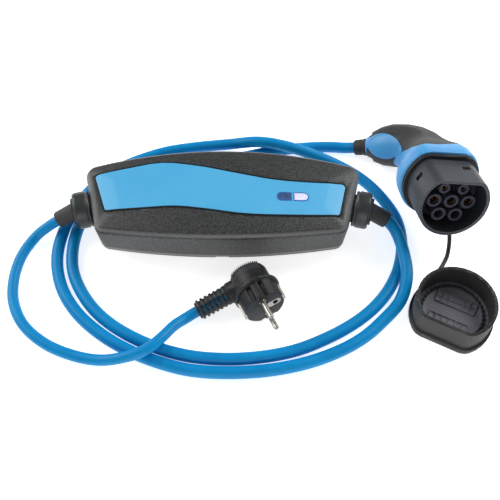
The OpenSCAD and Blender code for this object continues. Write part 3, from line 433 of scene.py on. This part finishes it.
# the body is blue, with black on both sides of the neck at its tail
finishes["connectorBlue"] = twoColourFinish("connectorBlueMoulding", {
    "dark": tint("#4096d4"), "light": tint("#4ca2de"), "pebbleScale": 2400.0, "cloudScale": 22.0,
    "rough": (0.34, 0.44), "bump": 0.05, "bumpDepth": 0.0001, "otherTint": tint("#2d2e2e"),
    "otherRough": 0.58, "ovalFilled": False,
    "planes": ({"normal": (1.0, 0.0, 0.0), "through": (0.1427, 0.08, 0.023), "soft": 0.0003},
               {"normal": (0.0, 1.0, 0.0), "through": (0.16, 0.062, 0.023), "soft": 0.0003})})


def capFinish(look):
    finish = mouldedFinish("capRubber", look)
    tree = finish.node_tree
    link = tree.links.new
    shader = tree.nodes["Principled BSDF"]
    place = tree.nodes.new("ShaderNodeTexCoord").outputs["Object"]
    split = addNode(tree, "ShaderNodeSeparateXYZ")
    link(place, split.inputs[0])
    facing = addNode(tree, "ShaderNodeSeparateXYZ")
    link(tree.nodes.new("ShaderNodeNewGeometry").outputs["True Normal"], facing.inputs[0])
    level = stepBetween(tree, split.outputs["Z"], *look["levels"])
    steps = tree.nodes.new("ShaderNodeValToRGB")
    steps.color_ramp.interpolation = "CONSTANT"
    for spot, shade in look["sheenAndShadowStops"]:
        stop = steps.color_ramp.elements[0] if spot == 0.0 else steps.color_ramp.elements.new(spot)
        stop.color = (*shade, 1.0)
    steps.color_ramp.elements[-1].color = stop.color
    link(level, steps.inputs[0])
    upward = mathWith(tree, "GREATER_THAN", facing.outputs["Z"], look["facingOver"])
    inside = addNode(tree, "ShaderNodeMath", operation="COMPARE")
    inside.inputs[1].default_value = look["middle"]
    inside.inputs[2].default_value = look["reach"]
    link(split.outputs["Z"], inside.inputs[0])
    # paints the floor's sheen and the ribs' shadows into the base colour
    floor = joinMasks(tree, "MULTIPLY", upward, inside.outputs[0])
    blendOver(tree, shader.inputs["Base Color"], floor, steps.outputs["Color"])
    return finish


# stops: floor, ribs and ring, from low to high inside the cap; the floor is painted lighter as a sheen, the
# ribs darker as their shadows, the ring lighter
finishes["capRubber"] = capFinish({
    "dark": tint("#272728"), "light": tint("#343334"), "pebbleScale": 1500.0, "cloudScale": 35.0,
    "rough": (0.5, 0.64), "bump": 0.18, "bumpDepth": 0.0002, "specular": 0.45, "levels": (0.008, 0.0105),
    "middle": 0.0088, "reach": 0.0012, "facingOver": 0.9,
    "sheenAndShadowStops": ((0.0, tint("#60616a")), (0.32, tint("#26262b")), (0.6, tint("#85868d")))})


def litWindow(look):
    finish = mouldedFinish("litWindow", look)
    shader = finish.node_tree.nodes["Principled BSDF"]
    shader.inputs["Emission Color"].default_value = (*look["glow"], 1.0)
    shader.inputs["Emission Strength"].default_value = look["glowStrength"]
    return finish


finishes["windowLit"] = litWindow({
    "dark": tint("#c4c8ea"), "light": tint("#e4e4f6"), "pebbleScale": 900.0, "cloudScale": 160.0,
    "rough": (0.14, 0.22), "bump": 0.02, "bumpDepth": 0.0001, "coat": 0.4, "coatRough": 0.06,
    "glow": tint("#dcdcf8"), "glowStrength": 0.2})


def sheathFinish(name, look):
    finish = bpy.data.materials.new(name)
    finish.use_nodes = True
    tree = finish.node_tree
    link = tree.links.new
    shader = tree.nodes["Principled BSDF"]
    place = tree.nodes.new("ShaderNodeTexCoord").outputs["Object"]
    marks = addNode(tree, "ShaderNodeGroup", node_tree=handlingMarks)
    marks.inputs["Mark Scale"].default_value = look["markScale"]
    link(place, marks.inputs["Vector"])
    link(rampBetween(tree, marks.outputs["Marks"], look["dark"], look["light"]), shader.inputs["Base Color"])
    link(rangeBetween(tree, marks.outputs["Marks"], *look["rough"]), shader.inputs["Roughness"])
    grain = addNode(tree, "ShaderNodeGroup", node_tree=mouldGrain)
    grain.inputs["Pebble Scale"].default_value = look["pebbleScale"]
    link(place, grain.inputs["Vector"])
    bump = addNode(tree, "ShaderNodeBump", Strength=look["bump"], Distance=look["bumpDepth"])
    height = grain.outputs["Height"]
    if "twist" in look:
        strands = addNode(tree, "ShaderNodeTexWave", bands_direction="DIAGONAL", Scale=look["twist"])
        link(place, strands.inputs["Vector"])
        height = strands.outputs["Fac"]
        # the twist's grooves are painted darker, as shade between the strands
        lay = rampBetween(tree, height, look["grooveShade"], look["light"], *look["twistSpread"])
        link(lay, shader.inputs["Base Color"])
    link(height, bump.inputs["Height"])
    link(bump.outputs[0], shader.inputs["Normal"])
    shader.inputs["Specular IOR Level"].default_value = look.get("specular", 0.5)
    return finish


finishes["sheath"] = sheathFinish("blueSheath", {
    "dark": tint("#0080be"), "light": tint("#008dcc"), "markScale": 40.0, "rough": (0.36, 0.46),
    "pebbleScale": 1500.0, "bump": 0.06, "bumpDepth": 0.0002, "specular": 0.22})
finishes["lanyard"] = sheathFinish("lanyardBlack", {
    "dark": tint("#202122"), "light": tint("#2f3031"), "markScale": 200.0, "rough": (0.45, 0.6),
    "pebbleScale": 2500.0, "bump": 0.8, "bumpDepth": 0.0002, "twist": 210.0, "twistSpread": (0.2, 0.6),
    "grooveShade": tint("#0d0e0f")})
print("finishes made:", len(finishes))

# cords: each one a smooth curve through the route of its solid


def smoothRoute(route, steps):
    points = [Vector(p) for p in route]
    ends = [points[0], *points, points[-1]]
    smooth = []
    for a, b, c, d in zip(ends, ends[1:], ends[2:], ends[3:]):
        for k in range(steps):
            t = k / steps
            bend, swing = 2 * a - 5 * b + 4 * c - d, 3 * b - a - 3 * c + d
            smooth.append((2 * b + (c - a) * t + bend * t ** 2 + swing * t ** 3) / 2)
    return [*smooth, points[-1]]


def layCord(name, look, node, finish):
    line = bpy.data.curves.new(name, "CURVE")
    line.dimensions = "3D"
    line.bevel_depth = look["diameter"] / 2
    line.bevel_resolution = look["rounding"]
    line.use_fill_caps = True
    points = smoothRoute(look["route"], look["steps"])
    spline = line.splines.new("POLY")
    spline.points.add(len(points) - 1)
    for spot, p in zip(spline.points, points):
        spot.co = (*p, 1.0)
    spline.use_smooth = True
    cord = bpy.data.objects.new(name, line)
    bpy.context.collection.objects.link(cord)
    line.materials.append(finish)
    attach(cord, "root")
    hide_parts(node)
    length = sum((b - a).length for a, b in zip(points, points[1:]))
    print(name, "laid:", round(length, 3), "m")
    return cord


chargingRoute = {
    "diameter": 0.0113, "length": 1.78, "steps": 6, "rounding": 5, "exit": (0.134, -0.0065, 0.0295),
    "route": [
        (0.108, 0, 0.0295), (0.1395, -0.0078, 0.0295), (0.1534, -0.0113, 0.022),
        (0.162, -0.022, 0.0186), (0.167, -0.046, 0.0178), (0.1675, -0.07, 0.0152),
        (0.16, -0.0915, 0.0086), (0.142, -0.111, 0.0057), (0.125, -0.126, 0.0057),
        (0.104, -0.1385, 0.0057), (0.076, -0.1495, 0.0057), (0.044, -0.1565, 0.0057),
        (0.01, -0.159, 0.0057), (-0.024, -0.157, 0.0057), (-0.054, -0.149, 0.0057),
        (-0.082, -0.137, 0.0057), (-0.108, -0.1205, 0.0057), (-0.13, -0.1, 0.0057),
        (-0.146, -0.075, 0.0057), (-0.154, -0.046, 0.0057), (-0.153, -0.017, 0.0057),
        (-0.145, 0.012, 0.0057), (-0.131, 0.038, 0.0057), (-0.111, 0.06, 0.0057),
        (-0.086, 0.075, 0.0057), (-0.058, 0.086, 0.0057), (-0.027, 0.092, 0.0057),
        (0.005, 0.093, 0.009), (0.034, 0.089, 0.0172), (0.062, 0.0825, 0.018), (0.092, 0.075, 0.012),
        (0.119, 0.064, 0.0065), (0.14, 0.047, 0.0057), (0.156, 0.025, 0.0057), (0.167, 0, 0.0057),
        (0.169, -0.028, 0.0057), (0.164, -0.053, 0.0057), (0.153, -0.076, 0.0057),
        (0.137, -0.096, 0.0057), (0.117, -0.1125, 0.0057), (0.093, -0.1265, 0.0057),
        (0.066, -0.138, 0.0057), (0.036, -0.1445, 0.0057), (0.004, -0.1465, 0.0057),
        (-0.028, -0.1435, 0.0057), (-0.058, -0.1345, 0.0057), (-0.086, -0.1205, 0.0057),
        (-0.109, -0.103, 0.0057), (-0.126, -0.082, 0.0057), (-0.1375, -0.058, 0.0057),
        (-0.141, -0.032, 0.0057), (-0.138, -0.006, 0.0057), (-0.13, 0.015, 0.0057),
        (-0.115, 0.035, 0.0057), (-0.095, 0.05, 0.0057), (-0.068, 0.06, 0.0057),
        (-0.036, 0.066, 0.0057), (-0.004, 0.072, 0.0057), (0.024, 0.08, 0.0057), (0.052, 0.087, 0.0057),
        (0.078, 0.0905, 0.0057), (0.098, 0.092, 0.0057), (0.112, 0.0918, 0.0057), (0.123, 0.09, 0.0068),
        (0.133, 0.0876, 0.01), (0.1451, 0.085, 0.0141), (0.1571, 0.0823, 0.0182)
    ]}
mainsRoute = {
    "diameter": 0.010, "length": 0.415, "steps": 6, "rounding": 5, "exit": (-0.134, -0.0065, 0.0295),
    "route": [
        (-0.107, 0.0003, 0.0295), (-0.1395, -0.0078, 0.0295), (-0.1534, -0.0113, 0.022),
        (-0.166, -0.015, 0.0145), (-0.178, -0.022, 0.0075), (-0.188, -0.041, 0.0051),
        (-0.191, -0.066, 0.0051), (-0.187, -0.091, 0.0051), (-0.174, -0.114, 0.0051),
        (-0.152, -0.132, 0.0051), (-0.126, -0.143, 0.0051), (-0.102, -0.1485, 0.008),
        (-0.08, -0.149, 0.0155), (-0.062, -0.143, 0.018), (-0.05, -0.131, 0.0165),
        (-0.041, -0.117, 0.0105), (-0.0315, -0.1075, 0.0066), (-0.0209, -0.1009, 0.0079),
        (0.0072, -0.0873, 0.015), (0.021, -0.0805, 0.0185)
    ]}
tetherRoute = {
    "diameter": 0.0039, "length": 0.072, "steps": 6, "rounding": 5, "exit": (0.2094, -0.0112, 0.0206),
    "route": [
        (0.2086, -0.0047, 0.0181), (0.2094, -0.0112, 0.0206), (0.2102, -0.0175, 0.0222),
        (0.211, -0.024, 0.021), (0.2116, -0.03, 0.016), (0.2117, -0.0345, 0.0095),
        (0.211, -0.039, 0.0042), (0.209, -0.0435, 0.0022), (0.2058, -0.049, 0.002),
        (0.2026, -0.054, 0.0024), (0.2011, -0.0588, 0.003), (0.2016, -0.0646, 0.003)
    ]}
chargingCord = layCord("chargingCord", chargingRoute, "charging_cable", finishes["sheath"])
mainsCord = layCord("mainsCord", mainsRoute, "mains_lead", finishes["sheath"])
capTether = layCord("capTether", tetherRoute, "cap_lanyard", finishes["lanyard"])


# dressed copies of the solids: merged, bevelled and smoothed, with these values where a piece gives no other
plainDressing = {"merge": 0.00001, "bevelSegments": 2, "bevelFrom": 40.0, "smooth": 30.0}


def roundCorners(piece, look):
    shape = bmesh.new()
    shape.from_mesh(piece.data)
    along = Vector(look["roundAlong"])
    corners = [e for e in shape.edges if e.calc_length() < look["roundUnder"] and len(e.link_faces) == 2
               and abs((e.verts[1].co - e.verts[0].co).normalized().dot(along)) > look["roundMatch"]
               and e.calc_face_angle() > math.radians(look["roundFrom"])]
    bmesh.ops.bevel(shape, geom=corners, offset=look["roundBy"], segments=look["roundSegments"],
                    profile=look["roundProfile"], affect="EDGES")
    shape.to_mesh(piece.data)
    shape.free()


def dressNode(node, piece, finish, ownLook):
    look = {**plainDressing, **ownLook}
    bpy.ops.object.select_all(action="DESELECT")
    source = nodes[node]
    copy = source.copy()
    copy.data = source.data.copy()
    copy.name = piece
    copy.data.name = piece
    bpy.context.collection.objects.link(copy)
    copy.parent = None
    copy.matrix_world = source.matrix_world.copy()
    bpy.context.view_layer.objects.active = copy
    copy.select_set(True)
    bpy.ops.object.mode_set(mode="EDIT")
    bpy.ops.mesh.select_all(action="SELECT")
    bpy.ops.mesh.remove_doubles(threshold=look["merge"])
    if "dissolve" in look:
        bpy.ops.mesh.dissolve_limited(angle_limit=math.radians(look["dissolve"]))
    bpy.ops.object.mode_set(mode="OBJECT")
    if "roundAlong" in look:
        roundCorners(copy, look)
    if "bevel" in look:
        edge = copy.modifiers.new("softEdges", "BEVEL")
        edge.width = look["bevel"]
        edge.segments = look["bevelSegments"]
        edge.limit_method = "ANGLE"
        edge.angle_limit = math.radians(look["bevelFrom"])
        edge.use_clamp_overlap = True
        bpy.ops.object.modifier_apply(modifier=edge.name)
    bpy.ops.object.shade_smooth_by_angle(angle=math.radians(look["smooth"]))
    even = copy.modifiers.new("evenNormals", "WEIGHTED_NORMAL")
    even.keep_sharp = True
    bpy.ops.object.modifier_apply(modifier=even.name)
    copy.data.materials.clear()
    copy.data.materials.append(finish)
    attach(copy, "root")
    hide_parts(node)
    return copy


# node: name, finish, slot and dressing
dressing = {
    "upper_shell": ("housingTop", "housing", "housing", {"smooth": 32.0}),
    "lower_shell": ("housingTray", "tray", "housing", {"smooth": 32.0}),
    "inlay_panel": ("topPanel", "panel", "panel", {"smooth": 32.0}),
    "status_window_left": ("leftWindow", "windowDark", "window_dark", {
        "dissolve": 1.0, "bevel": 0.0003, "smooth": 35.0}),
    "status_window_right": ("rightWindow", "windowLit", "window_lit", {
        "dissolve": 1.0, "bevel": 0.0003, "smooth": 35.0}),
    "plug_body": ("plugShell", "plugBlack", "hard_black", {}),
    "plug_pins": ("plugPins", "steel", "steel", {}),
    "plug_earth_clips": ("plugEarthClips", "steel", "steel", {
        "dissolve": 1.0, "roundAlong": (0.402778, -0.904655, 0.139173), "roundUnder": 0.0015,
        "roundMatch": 0.99, "roundFrom": 57.0, "roundBy": 0.0028, "roundSegments": 5, "roundProfile": 0.5}),
    "plug_bend_sleeve": ("plugSleeve", "plugBlack", "soft_black", {}),
    "connector_body": ("connectorShell", "connectorBlue", "blue_shell", {"smooth": 40.0}),
    "connector_grip": ("connectorGrip", "grip", "soft_black", {"smooth": 40.0}),
    "connector_inlays": ("connectorInlays", "grip", "blue_shell", {"smooth": 40.0}),
    "connector_boot": ("connectorBoot", "softBlack", "soft_black", {}),
    "connector_gasket": ("connectorGasket", "plugBlack", "soft_black", {}),
    "connector_shroud": ("connectorShroud", "shroudBlack", "hard_black", {
        "dissolve": 1.0, "bevel": 0.0007, "bevelFrom": 60.0}),
    "contact_carrier": ("contactCarrier", "carrierBlack", "hard_black", {
        "dissolve": 1.0, "bevel": 0.0004, "bevelFrom": 60.0}),
    "power_contacts": ("powerContacts", "copper", "contact", {}),
    "signal_contacts": ("signalContacts", "copper", "contact", {}),
    "protective_cap": ("protectiveCap", "capRubber", "soft_black", {}),
}
for side in ("left", "right"):
    dressing[side + "_gland_nut"] = (side + "GlandNut", "hardBlack", "hard_black", {})
    dressing[side + "_gland_body"] = (side + "GlandBody", "hardBlack", "hard_black", {})
    dressing[side + "_bend_sleeve"] = (side + "BendSleeve", "softBlack", "soft_black", {})
pieces = {node: dressNode(node, piece, finishes[finish], look)
          for node, (piece, finish, slot, look) in dressing.items()}
print("solids dressed:", len(pieces))


def inBoxOf(piece, spot, margin):
    for axis in (0, 1):
        reach = [corner[axis] for corner in piece.bound_box]
        if not min(reach) - margin < spot[axis] < max(reach) + margin:
            return False
    return True


# a bead along the upper edges of a solid, where a face that looks up meets an upright one
rimLook = {"merge": 0.00001, "upOver": 0.8, "uprightUnder": 0.4, "rounding": 2, "above": 0.03}


def traceRim(node, name, ownLook, finish):
    look = {**rimLook, **ownLook}
    shape = bmesh.new()
    shape.from_mesh(nodes[node].data)
    bmesh.ops.remove_doubles(shape, verts=shape.verts, dist=look["merge"])
    rim = [e for e in shape.edges if len(e.link_faces) == 2
           and max(f.normal.z for f in e.link_faces) > look["upOver"]
           and abs(min(f.normal.z for f in e.link_faces)) < look["uprightUnder"]
           and min(v.co.z for v in e.verts) > look["above"]
           and not any(inBoxOf(nodes[other], e.verts[0].co, look["margin"]) for other in look["apartFrom"])]
    spots = list(dict.fromkeys(v for e in rim for v in e.verts))
    order = {v: k for k, v in enumerate(spots)}
    mesh = bpy.data.meshes.new(name)
    mesh.from_pydata([v.co.copy() for v in spots], [[order[v] for v in e.verts] for e in rim], [])
    shape.free()
    bead = bpy.data.objects.new(name, mesh)
    bpy.context.collection.objects.link(bead)
    bpy.ops.object.select_all(action="DESELECT")
    bpy.context.view_layer.objects.active = bead
    bead.select_set(True)
    bpy.ops.object.convert(target="CURVE")
    bead = bpy.context.object
    bead.data.bevel_depth = look["radius"]
    bead.data.bevel_resolution = look["rounding"]
    bpy.ops.object.convert(target="MESH")
    bead = bpy.context.object
    bead.location.z -= look["sink"]
    bpy.ops.object.transform_apply(location=True, rotation=False, scale=False)
    bpy.ops.object.shade_smooth()
    bead.data.materials.clear()
    bead.data.materials.append(finish)
    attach(bead, "root")


# the dark bead round the panel is a painted shadow in the gap between panel and pocket
traceRim("inlay_panel", "panelGapShadow", {
    "radius": 0.0012, "sink": 0.0007, "apartFrom": ("status_window_left", "status_window_right"),
    "margin": 0.002}, finishes["gapShadow"])
for side in ("left", "right"):
    traceRim("status_window_" + side, side + "WindowRim", {
        "radius": 0.0006, "sink": 0.0003, "apartFrom": (), "margin": 0.0},
        finishes["windowRim"])
print("seams traced")


def plugFrame(look):
    heading, pitch, roll = (math.radians(a) for a in look["turns"])
    placed = Matrix.Translation(look["place"])
    for angle, axis in ((heading, "Z"), (-pitch, "Y"), (roll, "X")):
        placed = placed @ Matrix.Rotation(angle, 4, axis)
    return placed


# fine ribs round the back of the plug, in the plug's own frame; profile in shares of width and rise
plugLook = {
    "place": (0.039, -0.106, 0.0242), "turns": (-66.0, 8.0, -77.0), "radius": 0.0177, "from": -0.0395,
    "to": -0.0305, "ribs": 15, "spread": 46.0, "width": 0.0005, "rise": 0.0005, "smooth": 40.0,
    "profile": ((-1.0, -0.6), (-0.7, 0.7), (0.0, 1.0), (0.7, 0.7), (1.0, -0.6))}


def ribPlug(look):
    bpy.ops.object.select_all(action="DESELECT")
    shape = bmesh.new()
    for side in (-1, 1):
        for rib in range(look["ribs"]):
            turn = math.radians(look["spread"] * (2 * rib / (look["ribs"] - 1) - 1))
            out = Vector((0.0, side * math.cos(turn), math.sin(turn)))
            over = Vector((0.0, -out.z, out.y))
            ring = []
            for x in (look["from"], look["to"]):
                foot = Vector((x, 0.0, 0.0)) + out * look["radius"]
                ring.append([shape.verts.new(foot + over * look["width"] * a + out * look["rise"] * b)
                             for a, b in look["profile"]])
            near, far = ring
            for k in range(len(near)):
                shape.faces.new((near[k - 1], near[k], far[k], far[k - 1]))
            shape.faces.new(near[::-1])
            shape.faces.new(far)
    bmesh.ops.recalc_face_normals(shape, faces=shape.faces)
    bmesh.ops.transform(shape, matrix=plugFrame(look), verts=shape.verts)
    mesh = bpy.data.meshes.new("plugGripRibs")
    shape.to_mesh(mesh)
    shape.free()
    ribs = bpy.data.objects.new("plugGripRibs", mesh)
    bpy.context.collection.objects.link(ribs)
    bpy.context.view_layer.objects.active = ribs
    ribs.select_set(True)
    bpy.ops.object.shade_smooth_by_angle(angle=math.radians(look["smooth"]))
    mesh.materials.append(finishes["plugBlack"])
    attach(ribs, "root")
    return ribs


plugRibs = ribPlug(plugLook)
print("plug ribs made")

# sealed pieces keep their solids
sealed = {
    "housing_gasket": "softBlack", "housing_screws": "steel", "circuit_board": "board", "relays": "plugBlack",
    "current_sensor": "plugBlack", "power_supply": "winding", "mains_terminals": "board",
    "charging_terminals": "board", "left_gland_locknut": "hardBlack", "right_gland_locknut": "hardBlack",
    "left_gland_seal": "softBlack", "right_gland_seal": "softBlack",
}
for node, finish in sealed.items():
    nodes[node].data.materials.clear()
    nodes[node].data.materials.append(finishes[finish])
print("sealed pieces finished:", len(sealed))

# plain pale floor and soft studio light
studio = {
    "floorSize": 6.0, "floorTone": 0.9, "floorRough": 0.9, "floorSpecular": 0.1, "floorGlow": 0.72,
    "world": 0.24,
    "lamps": [
        {"name": "rightSoft", "spot": (1.35, 0.8, 1.2), "size": 1.2, "power": 30.0},
        {"name": "leftSoft", "spot": (-1.35, 0.6, 1.0), "size": 1.2, "power": 22.0},
        {"name": "frontSoft", "spot": (0.0, -1.7, 0.4), "size": 1.2, "power": 11.0},
    ]}


def buildStudio(look):
    bpy.ops.object.select_all(action="DESELECT")
    bpy.ops.mesh.primitive_plane_add(size=look["floorSize"], location=(0.0, 0.0, 0.0))
    floor = bpy.context.object
    floor.name = "studioFloor"
    floorFinish = bpy.data.materials.new("paleFloor")
    floorFinish.use_nodes = True
    shader = floorFinish.node_tree.nodes["Principled BSDF"]
    shader.inputs["Base Color"].default_value = (look["floorTone"],) * 3 + (1.0,)
    shader.inputs["Roughness"].default_value = look["floorRough"]
    shader.inputs["Specular IOR Level"].default_value = look["floorSpecular"]
    shader.inputs["Emission Color"].default_value = (1.0, 1.0, 1.0, 1.0)
    shader.inputs["Emission Strength"].default_value = look["floorGlow"]
    floor.data.materials.append(floorFinish)
    world = bpy.data.worlds.new("studioWorld")
    world.use_nodes = True
    world.node_tree.nodes["Background"].inputs["Color"].default_value = (1.0, 1.0, 1.0, 1.0)
    world.node_tree.nodes["Background"].inputs["Strength"].default_value = look["world"]
    bpy.context.scene.world = world
    for lamp in look["lamps"]:
        spot = Vector(lamp["spot"])
        bpy.ops.object.light_add(type="AREA", location=spot)
        light = bpy.context.object
        light.name = lamp["name"]
        light.data.size = lamp["size"]
        light.data.energy = lamp["power"]
        light.rotation_euler = (-spot).to_track_quat("-Z", "Y").to_euler()
    bpy.context.scene.view_settings.view_transform = "Standard"


buildStudio(studio)
print("studio lit")
